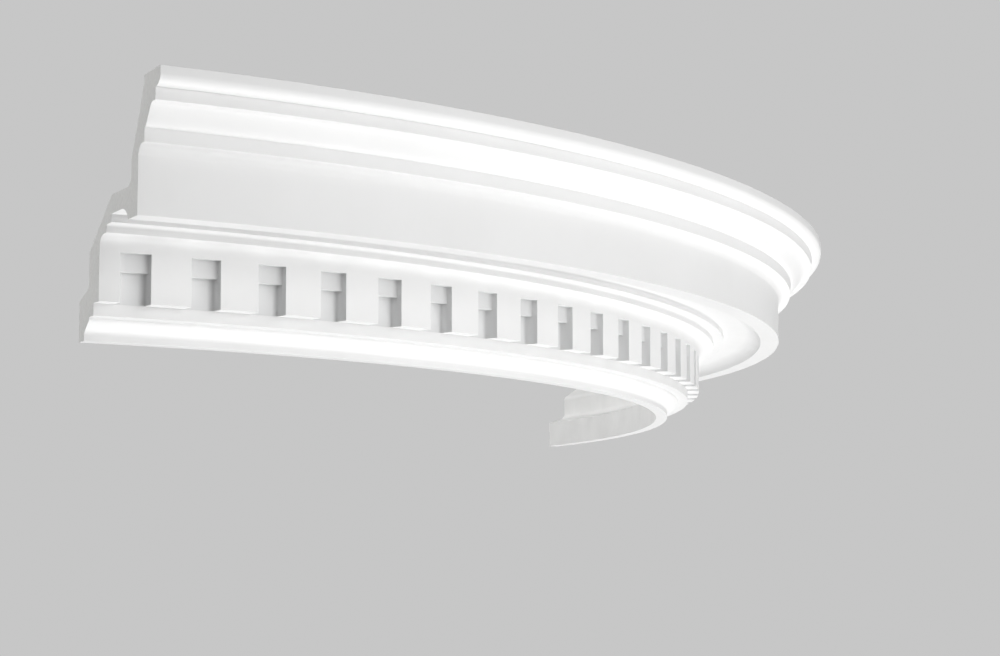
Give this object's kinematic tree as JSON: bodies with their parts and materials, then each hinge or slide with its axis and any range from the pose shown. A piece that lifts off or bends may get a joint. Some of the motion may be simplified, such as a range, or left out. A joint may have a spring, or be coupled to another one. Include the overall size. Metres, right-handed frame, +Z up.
{
  "type": "cornice moulding length",
  "caption": "Curved dentil cornice length for a convex wall: moulded crown, plain corona with a throat, dentils with half-filled gaps and an ogee foot, on a thin shell that is hollow behind.",
  "frame": {"origin": "middle of the ceiling land, at mid-length", "axes": "+Z up, out of the ceiling land; -Y out of the moulded front at mid-length; the cut ends lie towards +X and -X, and the centre of the curve is on the +Y axis"},
  "size_m": [1.5196, 0.4382, 0.17],
  "materials": {
    "white_primer": "smooth white factory primer on cast rigid foam, matt"
  },
  "bodies": {
    "root": {"cornice": "white_primer"}
  },
  "joints": []
}
